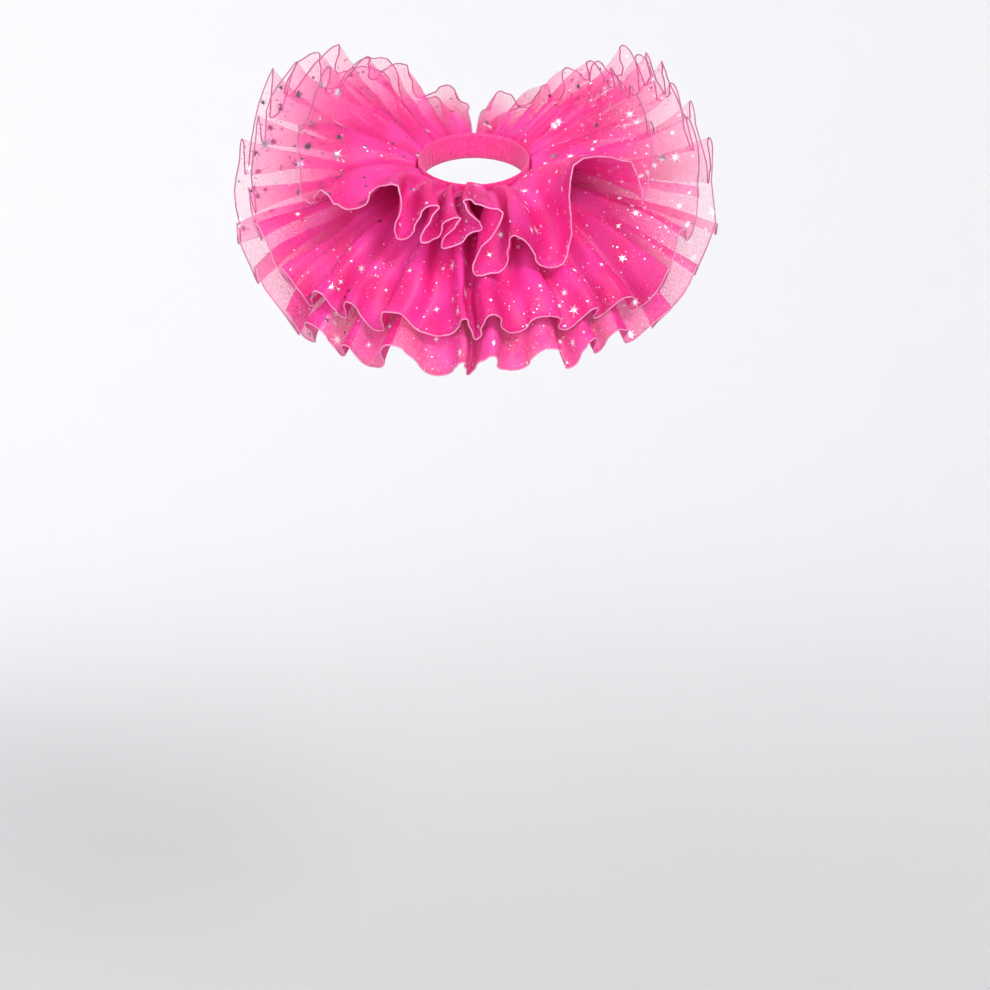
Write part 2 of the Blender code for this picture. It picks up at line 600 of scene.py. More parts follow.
class Growth(NodeTree):
    """A Geometry Nodes tree with named inputs."""

    def __init__(self, name: str, sizes: dict[str, float]) -> None:
        """Start a tree with a geometry input and its sizes.

        Args:
            name: The tree's name.
            sizes: Named inputs and their values, in metres.
        """
        super().__init__(bpy.data.node_groups.new(name, "GeometryNodeTree"))
        self.sizes = sizes
        face = self.tree.interface
        face.new_socket("Geometry", in_out="INPUT", socket_type="NodeSocketGeometry")
        for size in sizes:
            face.new_socket(size, in_out="INPUT", socket_type="NodeSocketFloat")
        face.new_socket("Geometry", in_out="OUTPUT", socket_type="NodeSocketGeometry")
        given = self.add("NodeGroupInput")
        self.source = given[0]
        self.given = dict(zip(sizes, given[1:]))

    def curve(self) -> Value:
        """The mesh that the tree is given, as a curve."""
        return self.add("GeometryNodeMeshToCurve", None, {"Mesh": self.source})[0]

    def place(self) -> Value:
        """Place of each point."""
        return self.add("GeometryNodeInputPosition")[0]

    def chance(self, low: float, high: float, seed: int) -> Value:
        """A number by chance between two others."""
        inputs = {2: low, 3: high, "Seed": seed}
        return self.add("FunctionNodeRandomValue", {"data_type": "FLOAT"}, inputs)[1]

    def store(self, geometry: Value, name: str, value: Value) -> Value:
        """Keep a number on each point."""
        inputs = {"Geometry": geometry, "Name": name, "Value": value}
        return self.add("GeometryNodeStoreNamedAttribute", {"data_type": "FLOAT"}, inputs)[0]

    def move(self, geometry: Value, **how: Value) -> Value:
        """Move each point to a Position or by an Offset."""
        return self.add("GeometryNodeSetPosition", None, {"Geometry": geometry, **how})[0]

    def finish(self, geometry: Value, material: bpy.types.Material) -> None:
        """Realize what was made, give it its material and send it out."""
        real = self.add("GeometryNodeRealizeInstances", None, {"Geometry": geometry})[0]
        dressed = self.add("GeometryNodeSetMaterial", None, {"Geometry": real, "Material": material})[0]
        self.add("NodeGroupOutput", None, {0: dressed})

    def grow(self, name: str, source: bpy.types.Mesh) -> bpy.types.Object:
        """Run the tree on a mesh.

        Args:
            name: The new piece's name.
            source: The path or sheet that the tree follows.

        Returns:
            The piece as a plain mesh.
        """
        piece = link(name, source)
        modifier = piece.modifiers.new(name, "NODES")
        modifier.node_group = self.tree
        for item in self.tree.interface.items_tree:
            if item.in_out == "INPUT" and item.name in self.sizes:
                modifier[item.identifier] = float(self.sizes[item.name])
        return baked(piece)


def path_mesh(name: str, line: np.ndarray) -> bpy.types.Mesh:
    """A mesh of edges along a line of points in millimetres."""
    mesh = bpy.data.meshes.new(name)
    mesh.from_pydata((line * MM).tolist(), [(n, n + 1) for n in range(len(line) - 1)], [])
    return mesh


class RolledHem:
    """A thread-wound roll swept along a ruffle's free edge."""

    drifts_per_m: float = 130.0
    uneven_mm: float = 0.4
    sides: int = 6

    def __init__(self, finish: ThreadFinish, radius_mm: float = 0.8, step_mm: float = 2.2) -> None:
        """Build the sweep with its sizes.

        Args:
            finish: The thread.
            radius_mm: The roll's radius.
            step_mm: The distance between rings along the edge.
        """
        sizes = {"Radius": radius_mm * MM, "Step": step_mm * MM, "Unevenness": self.uneven_mm * MM}
        self.growth = grow = Growth("rolled_hem", sizes)
        inputs = {"Curve": grow.curve(), "Length": grow.given["Step"]}
        even = grow.add("GeometryNodeResampleCurve", {"mode": "LENGTH"}, inputs)[0]
        inputs = {"Vector": grow.place(), "Scale": self.drifts_per_m}
        drift = grow.add("ShaderNodeTexNoise", None, inputs)[1]
        either_way = grow.vector("SUBTRACT", drift, (0.5, 0.5, 0.5))
        shift = grow.vector("SCALE", either_way, grow.given["Unevenness"])
        run = grow.add("GeometryNodeSplineParameter")[1]
        kept = grow.store(grow.move(even, Offset=shift), "length", run)
        inputs = {0: self.sides, "Radius": grow.given["Radius"]}
        ring = grow.add("GeometryNodeCurvePrimitiveCircle", None, inputs)[0]
        inputs = {"Curve": kept, "Profile Curve": ring, "Fill Caps": True}
        tube = grow.add("GeometryNodeCurveToMesh", None, inputs)[0]
        smooth = grow.add("GeometryNodeSetShadeSmooth", None, {"Geometry": tube})[0]
        grow.finish(smooth, finish.material())

    def sew(self, name: str, edge: np.ndarray) -> bpy.types.Object:
        """Sweep the roll along an edge.

        Args:
            name: The piece's name.
            edge: Points of the edge in millimetres.

        Returns:
            The hem as a mesh, with the distance along it as a UV map.
        """
        piece = self.growth.grow(name, path_mesh(name, edge))
        mesh = piece.data
        along = np.zeros(len(mesh.vertices), np.float32)
        mesh.attributes["length"].data.foreach_get("value", along)
        set_uv(mesh, "run", np.stack((along, along * 0), axis=1))
        return piece


class StitchRow:
    """Small stitches along the neckband."""

    radius_mm: float = 0.28
    sides: int = 5

    def __init__(self, finish: ThreadFinish, long_mm: float = 2.4, gap_mm: float = 1.1) -> None:
        """Build the row with its sizes.

        Args:
            finish: The thread.
            long_mm: A stitch's length.
            gap_mm: The space between stitches.
        """
        sizes = {"Length": long_mm * MM, "Pitch": (long_mm + gap_mm) * MM, "Radius": self.radius_mm * MM}
        self.growth = grow = Growth("stitch_row", sizes)
        inputs = {"Curve": grow.curve(), "Length": grow.given["Pitch"]}
        points, tangent, *_ = grow.add("GeometryNodeCurveToPoints", {"mode": "LENGTH"}, inputs)
        inputs = {"Vertices": self.sides, "Radius": grow.given["Radius"], "Depth": grow.given["Length"]}
        stitch = grow.add("GeometryNodeMeshCylinder", None, inputs)[0]
        facing = grow.add("FunctionNodeAlignRotationToVector", {"axis": "Z"}, {"Vector": tangent})[0]
        inputs = {"Points": points, "Instance": stitch, "Rotation": facing}
        grow.finish(grow.add("GeometryNodeInstanceOnPoints", None, inputs)[0], finish.material())

    def sew(self, name: str, line: np.ndarray) -> bpy.types.Object:
        """Lay the stitches along a line of points in millimetres."""
        return self.growth.grow(name, path_mesh(name, line))


@dataclass(frozen=True)
class Scatter:
    """How one kind of mark is strewn over the cloth."""

    mark: Mark
    per_m2: float
    small_mm: float
    large_mm: float
    sides: int
    seed: int
    ray: float = 0.2
    short: float = 0.42
    drift: bool = False


SCATTERS = (
    Scatter(Mark.STAR, 300.0, 5.0, 9.2, 24, 3, ray=0.24),
    Scatter(Mark.SPARK, 560.0, 2.2, 4.2, 16, 4, ray=0.33),
    Scatter(Mark.DOT, 2600.0, 0.5, 1.0, 6, 5),
    Scatter(Mark.DUST, 14000.0, 0.32, 0.55, 4, 6, drift=True),
)


class FoilPrint:
    """Stars, sparks, dots and dust of foil that lie on a ruffle and follow its folds."""

    drifts_per_m: float = 28.0

    def __init__(self, finish: FoilFinish, lift_mm: float = 0.28, thick_mm: float = 0.12) -> None:
        """Build the print with its sizes.

        Args:
            finish: The foil.
            lift_mm: How far it lies off the middle of the cloth.
            thick_mm: How thick each mark is.
        """
        sizes = {f"{row.mark.value} per m2": row.per_m2 for row in SCATTERS}
        sizes |= {"Lift": lift_mm * MM, "Thickness": thick_mm * MM}
        self.growth = Growth("foil_print", sizes)
        self.growth.finish(self.laid([self.strewn(row) for row in SCATTERS]), finish.material())

    def shape(self, row: Scatter) -> Value:
        """One mark, 1 m in radius and as thick as the foil: a burst of rays, or a dot."""
        grow = self.growth
        inputs = {"Vertices": row.sides, "Radius": 1.0, "Depth": grow.given["Thickness"]}
        mark = grow.add("GeometryNodeMeshCylinder", None, inputs)[0]
        if row.mark in (Mark.DOT, Mark.DUST):
            return mark
        turn = grow.add("GeometryNodeInputIndex")[0]
        inner = turn.maths("MODULO", 2.0)
        short = (turn.maths("MODULO", 4.0) > 1.5) * (1 - inner)
        reach = 1 - inner * (1 - row.ray) - short * row.short
        x, y, z = grow.split(grow.place())
        drawn = grow.add("ShaderNodeCombineXYZ", None, {0: x * reach, 1: y * reach, 2: z})[0]
        return grow.move(mark, Position=drawn)

    def strewn(self, row: Scatter) -> Value:
        """The copies of one kind of mark, turned and sized by chance."""
        grow = self.growth
        density = grow.given[f"{row.mark.value} per m2"]
        if row.drift:
            density = density * grow.noise(grow.place(), self.drifts_per_m).ramp(0.5, 0.62)
        settings = {"distribute_method": "RANDOM"}
        inputs = {"Mesh": grow.source, "Density": density, "Seed": row.seed}
        points, _, facing = grow.add("GeometryNodeDistributePointsOnFaces", settings, inputs)
        size = grow.chance(row.small_mm * MM, row.large_mm * MM, row.seed + 10)
        angle = grow.chance(0.0, math.tau, row.seed + 20)
        spin = grow.add("FunctionNodeAxisAngleToRotation", None, {"Angle": angle})[0]
        inputs = {"Rotation": facing, "Rotate By": spin}
        turned = grow.add("FunctionNodeRotateRotation", {"rotation_space": "LOCAL"}, inputs)[0]
        scale = grow.add("ShaderNodeCombineXYZ", None, {0: size, 1: size, 2: 1.0})[0]
        mark = grow.store(self.shape(row), "height", grow.split(grow.place())[2])
        inputs = {"Points": points, "Instance": mark, "Rotation": turned, "Scale": scale}
        copies = grow.add("GeometryNodeInstanceOnPoints", None, inputs)[0]
        return grow.add("GeometryNodeRealizeInstances", None, {"Geometry": copies})[0]

    def laid(self, marks: list[Value]) -> Value:
        """All marks, each point set on the cloth so that a ray bends over a fold."""
        grow = self.growth
        joined = grow.add("GeometryNodeJoinGeometry", None, {0: marks})[0]
        nearest = grow.add("GeometryNodeProximity", {"target_element": "FACES"}, {0: grow.source})[0]
        normal = grow.add("GeometryNodeInputNormal")[0]
        settings = {"data_type": "FLOAT_VECTOR"}
        up = grow.add("GeometryNodeSampleNearestSurface", settings, {0: grow.source, 1: normal})[0]
        height = grow.add("GeometryNodeInputNamedAttribute", {"data_type": "FLOAT"}, {"Name": "height"})[0]
        place = grow.vector("ADD", nearest, grow.vector("SCALE", up, height + grow.given["Lift"]))
        return grow.move(joined, Position=place)

    def press(self, name: str, sheet: bpy.types.Mesh) -> bpy.types.Object:
        """Print a ruffle: its middle sheet gives the place of every mark."""
        return self.growth.grow(name, sheet)


# Sub-assemblies


@dataclass(frozen=True)
class Ruffle:
    """A gathered strip of organza."""

    name: str
    node: str
    seam_mm: float
    width_mm: float
    neck_cut_m: float
    seed: int
    creases: tuple[Crease, ...]
    back_deg: float = 0.0
    front_deg: float = 0.0
    leave_deg: float = 0.0
    front_folds: tuple[Fold, ...] = ()
    full_width_mm: float = 208.0
    side_steps: int = 10
    rows: int = 34
    join_deg: float = 1.0
    bend_share: float = 0.5
    square_share: float = 0.22
    box_power: float = 2.5
    curl_power: float = 1.9
    front_fullness: float = 2.4
    back_fullness: float = 0.75
    lean_scale: float = 2.6
    uneven_seed: int = 13
    uneven_wave: float = 0.35
    uneven_turn_deg: float = 2.0
    seam_wave_mm: float = 2.6
    seam_gap_mm: float = 0.6
    wall_mm: float = 0.3
    crease_rise: float = 0.12
    crease_fall: float = 0.2
    gather_mm: float = 1.0
    gather_pitch_deg: float = 3.1
    gather_reach: float = 0.16
    gather_drifts: tuple[int, ...] = (7, 11, 17)
    gather_sway: float = 1.3
    gather_uneven: float = 0.25
    sewn_share: float = 0.03
    hem_lift_mm: float = 1.5
    hem_from: float = 0.8
    hem_waves: tuple[tuple[float, float], ...] = ((0.7, 31.0), (0.5, 19.0), (0.25, 11.0))
    least_fullness: float = 0.6
    crowding: float = 2.0
    map_apart_mm: float = 400.0
    soft_lines: int = 3
    slack_mm: float = 2.6
    slack_waves: tuple[tuple[tuple[float, float, float], float, float], ...] = (
        ((0.6, -0.5, 0.62), 95.0, 0.4),
        ((-0.4, 0.55, 0.73), 71.0, 1.9),
        ((0.8, 0.6, 0.1), 118.0, 3.3),
    )
    slack_turns: tuple[float, float, float] = (0.0, 2.1, 4.2)
    band: BandCut = field(default_factory=BandCut)

    def even_fold(self, half: int) -> Fold:
        """The crest or trough that the sections give.

        Args:
            half: Number of the crest or trough from the closure.

        Returns:
            The fold, made uneven in the same way on each ruffle.
        """
        chance = random.Random(self.uneven_seed + half)
        seam_deg = place_of(half)
        row = section_at(seam_deg)
        side = 1.0 if half % 2 else -1.0
        front = max(0.0, math.cos(math.radians(seam_deg)))
        raised = self.back_deg + (self.front_deg - self.back_deg) * front
        depth = row.wave_deg * chance.uniform(1 - self.uneven_wave, 1 + self.uneven_wave)
        turn = row.turn_deg + chance.uniform(-self.uneven_turn_deg, self.uneven_turn_deg)
        cut = self.width_mm / self.full_width_mm
        rise = row.rise_deg + raised + side * depth
        return Fold(side, seam_deg, turn, rise, self.full_width_mm, 0.0, cut)

    def all_folds(self) -> list[Fold]:
        """Every crest and trough in order, with sides as steep as their spacing lets them be."""
        folds = [self.even_fold(half) for half in range(PLACES[-1].half + 1)]
        squared = []
        for low, fold, high in zip([folds[0]] + folds, folds, folds[1:] + [folds[-1]]):
            gap = min(abs(near.turn_deg - fold.turn_deg) for near in (low, high) if near is not fold)
            squared.append(replace(fold, bulge_deg=self.square_share * gap))
        if not self.front_folds:
            return squared
        first = self.front_folds[0].seam_deg - self.join_deg
        last = self.front_folds[-1].seam_deg + self.join_deg
        left = [fold for fold in squared if fold.seam_deg < first]
        right = [fold for fold in squared if fold.seam_deg > last]
        return left + list(self.front_folds) + right

    def line(self, here: Fold, there: Fold, share: float) -> tuple[float, np.ndarray]:
        """The points from seam to hem, part of the way between two folds.

        Args:
            here: The crest or trough before.
            there: The one after.
            share: How far between them.

        Returns:
            The place on the band in degrees, and the points in millimetres.
        """
        near = min(share, 1 - share)
        power = self.curl_power if {here, there} <= set(self.front_folds) else self.box_power
        ease = 0.5 * (2 * near) ** power
        ease = ease if share < 0.5 else 1 - ease
        side = here.side + (there.side - here.side) * ease
        seam_deg = here.seam_deg + (there.seam_deg - here.seam_deg) * share
        lean = (here.bulge_deg * (1 - share) - there.bulge_deg * share) * math.sin(math.pi * share)
        turn = here.turn_deg + (there.turn_deg - here.turn_deg) * share + lean * self.lean_scale
        rise = here.rise_deg + (there.rise_deg - here.rise_deg) * ease
        width = here.width_mm + (there.width_mm - here.width_mm) * share
        radius = self.band.radius_mm + self.band.wall_mm + self.seam_gap_mm
        seam = self.band.point(seam_deg, radius, self.seam_mm + self.seam_wave_mm * side)
        bend = seam + heading(seam_deg, rise / 2 + self.leave_deg) * width * self.bend_share
        hem = seam + heading(turn, rise) * width
        cut = here.cut + (there.cut - here.cut) * share
        out = (np.linspace(0.0, 1.0, self.rows) * cut)[:, None]
        return seam_deg, seam * (1 - out) ** 2 + bend * 2 * out * (1 - out) + hem * out**2

    def grid(self) -> tuple[np.ndarray, np.ndarray]:
        """The whole sheet before its creases.

        Returns:
            The place on the band of each line, and the points: lines, rows, then x, y and z.
        """
        folds = self.all_folds()
        lines = [
            self.line(here, there, step / self.side_steps)
            for here, there in zip(folds, folds[1:])
            for step in range(self.side_steps)
        ]
        lines.append(self.line(folds[-2], folds[-1], 1.0))
        return np.array([seam for seam, _ in lines]), np.array([points for _, points in lines])

    def softened(self, points: np.ndarray) -> np.ndarray:
        """The sheet with the sharp turns of its folds rounded off.

        Args:
            points: Lines, rows, then x, y and z in millimetres.

        Returns:
            Points of the same shape.
        """
        window = np.hanning(2 * self.soft_lines + 3)[1:-1]
        window /= window.sum()
        padded = np.pad(points, ((self.soft_lines, self.soft_lines), (0, 0), (0, 0)), mode="edge")
        return np.apply_along_axis(np.convolve, 0, padded, window, mode="valid")

    def slack(self, points: np.ndarray, shares: np.ndarray) -> np.ndarray:
        """The sheet with the loose drift of limp cloth, alike on each ruffle and most at its hem.

        Args:
            points: Lines, rows, then x, y and z in millimetres.
            shares: Share of the width of each row.

        Returns:
            The moved points.
        """
        moved = np.zeros_like(points)
        for way, length_mm, lead in self.slack_waves:
            lag = points @ np.array(way) * (2 * math.pi / length_mm)
            moved += np.stack([np.sin(lag + lead + turn) for turn in self.slack_turns], axis=2)
        return points + moved * (self.slack_mm * (shares**2)[None, :, None])

    def outward(self, points: np.ndarray) -> np.ndarray:
        """Unit normals of a sheet of points, on its upper side."""
        across = np.gradient(points, axis=0)
        along = np.gradient(points, axis=1)
        normal = np.cross(along, across)
        size = np.linalg.norm(normal, axis=2, keepdims=True)
        return normal / np.maximum(size, 1e-9)

    def height_of_creases(self, seams: np.ndarray, shares: np.ndarray) -> np.ndarray:
        """How far the cloth stands off its smooth form.

        Args:
            seams: Place on the band of each line, in degrees.
            shares: Share of the width of each row.

        Returns:
            Heights in millimetres, lines by rows.
        """
        chance = random.Random(self.seed)
        height = np.zeros((len(seams), len(shares)))
        for crease in self.creases:
            beside = np.exp(-(((seams - crease.seam_deg) / crease.spread_deg) ** 2))
            rise = eased(np.clip((shares - crease.start) / self.crease_rise, 0, 1))
            fall = eased(np.clip((crease.end - shares) / self.crease_fall, 0, 1))
            height += crease.depth_mm * np.outer(beside, rise * fall)
        drift = sum(
            np.sin(seams * math.radians(rate) + chance.uniform(0, 2 * math.pi))
            for rate in self.gather_drifts
        )
        gathers = np.sin(2 * math.pi * seams / self.gather_pitch_deg + self.gather_sway * drift)
        near = np.exp(-shares / self.gather_reach)
        height += self.gather_mm * np.outer(gathers * (1 + self.gather_uneven * drift), near)
        return height * np.minimum(shares / self.sewn_share, 1.0)

    def edge_wave(self, points: np.ndarray, shares: np.ndarray) -> np.ndarray:
        """Small waves of the stretched hem, in millimetres: lines by rows."""
        steps = np.linalg.norm(np.diff(points[:, -1], axis=0), axis=1)
        run = np.concatenate(([0.0], np.cumsum(steps)))
        chance = random.Random(self.seed + 1)
        wave = sum(
            size * np.sin(2 * math.pi * run / pitch + chance.uniform(0, 2 * math.pi))
            for size, pitch in self.hem_waves
        )
        near = np.clip((shares - self.hem_from) / (1 - self.hem_from), 0, 1)
        return self.hem_lift_mm * np.outer(wave, near**2)

    def sheet(self) -> tuple[np.ndarray, np.ndarray]:
        """The creased sheet.

        Returns:
            The place on the band of each line, and the points in millimetres.
        """
        seams, points = self.grid()
        shares = np.linspace(0.0, 1.0, self.rows)
        points = self.slack(self.softened(points), shares)
        height = self.height_of_creases(seams, shares) + self.edge_wave(points, shares)
        return seams, points + self.outward(points) * height[:, :, None]

    def cloth_map(self, points: np.ndarray) -> np.ndarray:
        """Place of each point on the flat cloth, opened out as a fan.

        Args:
            points: The sheet's points in millimetres.

        Returns:
            Lines by rows by two, in metres.
        """
        hem = np.linalg.norm(np.diff(points[:, -1], axis=0), axis=1)
        neck = np.linalg.norm(np.diff(points[:, 0], axis=0), axis=1)
        spread = (hem.sum() - neck.sum()) / self.width_mm
        angle = np.concatenate(([0.0], np.cumsum(hem))) / hem.sum() * spread
        inner = neck.sum() / spread
        out = inner + np.linspace(0.0, 1.0, self.rows) * self.width_mm
        apart = self.map_apart_mm * self.seed
        fan = np.stack((np.outer(np.cos(angle), out), np.outer(np.sin(angle), out) + apart), axis=2)
        return fan * MM

    def lie_map(self, seams: np.ndarray, points: np.ndarray) -> np.ndarray:
        """How crowded the cloth is, from the strip's length over the length that is modelled.

        Args:
            seams: Place on the band of each line, in degrees.
            points: The sheet's points in millimetres.

        Returns:
            Lines by rows by two: the crowding, and the share of the width.
        """
        steps = np.linalg.norm(np.diff(points, axis=0), axis=2)
        reach = 2 * self.side_steps
        window = np.full(2 * reach + 1, 1 / (2 * reach + 1))
        padded = np.pad(steps / np.diff(seams)[:, None], ((reach, reach + 1), (0, 0)), mode="edge")
        modelled = np.apply_along_axis(np.convolve, 0, padded, window, mode="valid")
        strip = steps[:, -1].sum() / (seams[-1] - seams[0])
        turn = np.radians(seams)[:, None]
        front, behind = np.maximum(np.cos(turn), 0.0), np.maximum(-np.cos(turn), 0.0)
        strip = strip * (1 + (self.front_fullness - 1) * front + (self.back_fullness - 1) * behind)
        shares = np.broadcast_to(np.linspace(0.0, 1.0, self.rows), modelled.shape)
        fullness = np.maximum(strip / modelled, self.least_fullness)
        return np.stack((fullness**self.crowding, shares), axis=2)

    def build(self, organza: bpy.types.Material) -> tuple[bpy.types.Object, bpy.types.Mesh, np.ndarray]:
        """Make the sheet as a thin shell.

        Args:
            organza: The cloth's material.

        Returns:
            The piece, the mesh of its middle, and the points of the sheet in millimetres.
        """
        seams, points = self.sheet()
        lines, rows = points.shape[:2]
        faces = [
            (n * rows + m, n * rows + m + 1, (n + 1) * rows + m + 1, (n + 1) * rows + m)
            for n in range(lines - 1)
            for m in range(rows - 1)
        ]
        mesh = mesh_of(self.name, points.reshape(-1, 3), faces)
        set_uv(mesh, "cloth", self.cloth_map(points).reshape(-1, 2))
        set_uv(mesh, "lie", self.lie_map(seams, points).reshape(-1, 2))
        mesh.materials.append(organza)
        middle = mesh.copy()
        piece = link(self.name, mesh)
        wall = piece.modifiers.new("wall", "SOLIDIFY")
        wall.thickness = self.wall_mm * MM
        wall.offset = 0.0
        return baked(piece), middle, points

    def edge(self, points: np.ndarray) -> np.ndarray:
        """The free edge: one short end, the hem and the other short end."""
        first = points[0, 1:]
        last = points[-1, 1:-1][::-1]
        return np.concatenate((first, points[1:, -1], last))


@dataclass(frozen=True)
class Neckband:
    """An elastic casing with fine gathers."""

    cut: BandCut = field(default_factory=BandCut)
    around: int = 420
    gathers: int = 70
    sways: int = 5
    sway: float = 1.2
    second_rate: float = 1.7
    second_share: float = 0.4
    gather_mm: float = 0.55
    inner_share: float = 0.6
    outer_share: float = -0.12
    soft_mm: float = 1.0
    inner_dents_mm: tuple[float, ...] = (0.2, 0.0, 0.0, 0.0, 0.2)
    outer_dents_mm: tuple[float, ...] = (0.2, 0.1, 0.2, 0.1, 0.2)
    stitch_inset_mm: float = 2.5
    stitch_proud_mm: float = 0.1
    seed: int = 21

    def profile(self) -> list[tuple[float, float]]:
        """Radius and height of the casing's closed section, in millimetres."""
        inner, outer = self.cut.radius_mm, self.cut.radius_mm + self.cut.wall_mm
        half = self.cut.height_mm / 2
        side = half - self.soft_mm
        middle = inner + self.cut.wall_mm / 2
        heights = (-side, -half / 2, 0.0, half / 2, side)
        inside = [(inner + dent, height) for dent, height in zip(self.inner_dents_mm, heights)]
        outside = [(outer - dent, -height) for dent, height in zip(self.outer_dents_mm, heights)]
        return [*inside, (middle, half), *outside, (middle, -half)]

    def ring(self, height_mm: float, radius_mm: float) -> np.ndarray:
        """Points of a closed line round the band."""
        turns = np.linspace(-180.0, 180.0, self.around // 2 + 1)
        return np.array([self.cut.point(turn, radius_mm, height_mm) for turn in turns])

    def build(self, cloth: bpy.types.Material) -> bpy.types.Object:
        """Make the casing.

        Args:
            cloth: The band's material.

        Returns:
            The piece.
        """
        section = self.profile()
        chance = random.Random(self.seed)
        first, second = (chance.uniform(0, 2 * math.pi) for _ in range(2))
        points = []
        for step in range(self.around):
            turn = 360.0 * step / self.around
            angle = math.radians(turn)
            ripple = math.sin(self.gathers * angle + self.sway * math.sin(self.sways * angle + first))
            ripple += self.second_share * math.sin(self.second_rate * self.gathers * angle + second)
            for radius, height in section:
                inside = radius < self.cut.radius_mm + 1
                push = self.gather_mm * ripple * (self.inner_share if inside else self.outer_share)
                points.append(self.cut.point(turn, radius + push, height))
        across = len(section)
        faces = [
            (here + n, here + (n + 1) % across, there + (n + 1) % across, there + n)
            for here, there in (
                (step * across, (step + 1) % self.around * across) for step in range(self.around)
            )
            for n in range(across)
        ]
        mesh = mesh_of("casing", np.array(points), faces)
        mesh.materials.append(cloth)
        return link("casing", mesh)


# Creases of each ruffle, a row for each crease

LOWER_CREASES = (
    Crease(-168, 0.1, 0.7, 1.6, 1.3),
    Crease(-151, 0.2, 0.9, -1.8, 1.1),
    Crease(-137, 0.1, 0.8, 2.0, 1.0),
    Crease(-118, 0.3, 1.0, 1.7, 0.9),
    Crease(-99, 0.1, 0.6, -1.6, 1.2),
    Crease(-82, 0.2, 0.9, 2.1, 1.0),
    Crease(-63, 0.4, 1.0, -1.5, 1.1),
    Crease(-47, 0.1, 0.7, 1.9, 0.9),
    Crease(-29, 0.2, 1.0, -2.0, 1.0),
    Crease(-12, 0.3, 0.9, 1.6, 0.9),
    Crease(4, 0.1, 0.8, -1.7, 1.1),
    Crease(23, 0.2, 1.0, 2.1, 1.0),
    Crease(41, 0.1, 0.6, -1.6, 0.9),
    Crease(57, 0.3, 1.0, 1.8, 1.2),
    Crease(76, 0.1, 0.8, -1.9, 1.0),
    Crease(94, 0.2, 0.9, 1.7, 0.9),
    Crease(113, 0.1, 0.7, 2.2, 1.1),
    Crease(131, 0.3, 1.0, -1.6, 1.0),
    Crease(149, 0.1, 0.8, 1.9, 1.2),
    Crease(167, 0.2, 0.9, -1.5, 1.1),
)

MIDDLE_CREASES = (
    Crease(-163, 0.2, 0.8, -1.6, 1.2),
    Crease(-146, 0.1, 0.9, 1.9, 1.0),
    Crease(-127, 0.3, 1.0, -1.7, 0.9),
    Crease(-109, 0.1, 0.7, 2.0, 1.1),
    Crease(-91, 0.2, 1.0, -1.8, 1.0),
    Crease(-72, 0.1, 0.8, 1.7, 0.9),
    Crease(-56, 0.3, 1.0, 2.1, 1.1),
    Crease(-38, 0.1, 0.7, -1.6, 1.0),
    Crease(-19, 0.2, 0.9, 1.8, 0.9),
    Crease(-3, 0.4, 1.0, -1.9, 1.2),
    Crease(14, 0.1, 0.8, 1.6, 1.0),
    Crease(32, 0.2, 1.0, -2.0, 1.1),
    Crease(49, 0.1, 0.7, 1.7, 0.9),
    Crease(67, 0.3, 0.9, -1.7, 1.0),
    Crease(85, 0.1, 0.8, 2.0, 1.1),
    Crease(103, 0.2, 1.0, -1.6, 0.9),
    Crease(122, 0.1, 0.7, 1.8, 1.0),
    Crease(140, 0.3, 1.0, 2.1, 1.2),
    Crease(158, 0.1, 0.8, -1.7, 1.0),
)

TOP_CREASES = (
    Crease(-159, 0.1, 0.8, 1.6, 1.1),
    Crease(-141, 0.2, 0.9, -1.5, 1.0),
    Crease(-122, 0.1, 0.7, 1.7, 0.9),
    Crease(-104, 0.3, 1.0, -1.4, 1.1),
    Crease(-90, 0.1, 0.8, 1.8, 2.0),
    Crease(-77, 0.1, 0.6, -1.6, 1.8),
    Crease(-63, 0.2, 0.8, 1.9, 1.6),
    Crease(-51, 0.1, 0.9, -1.7, 1.5),
    Crease(-31, 0.1, 0.7, 1.2, 1.0),
    Crease(16, 0.2, 0.8, 1.2, 1.0),
    Crease(27, 0.1, 0.7, -1.4, 1.4),
    Crease(41, 0.1, 0.9, 1.9, 1.6),
    Crease(49, 0.3, 1.0, -1.6, 1.8),
    Crease(61, 0.1, 0.8, 1.8, 1.9),
    Crease(69, 0.2, 0.9, -1.7, 1.7),
    Crease(84, 0.1, 0.8, 1.7, 1.8),
    Crease(101, 0.2, 0.9, -1.5, 1.0),
    Crease(119, 0.1, 0.7, 1.6, 1.1),
    Crease(137, 0.3, 1.0, -1.6, 0.9),
    Crease(155, 0.1, 0.8, 1.7, 1.0),
)


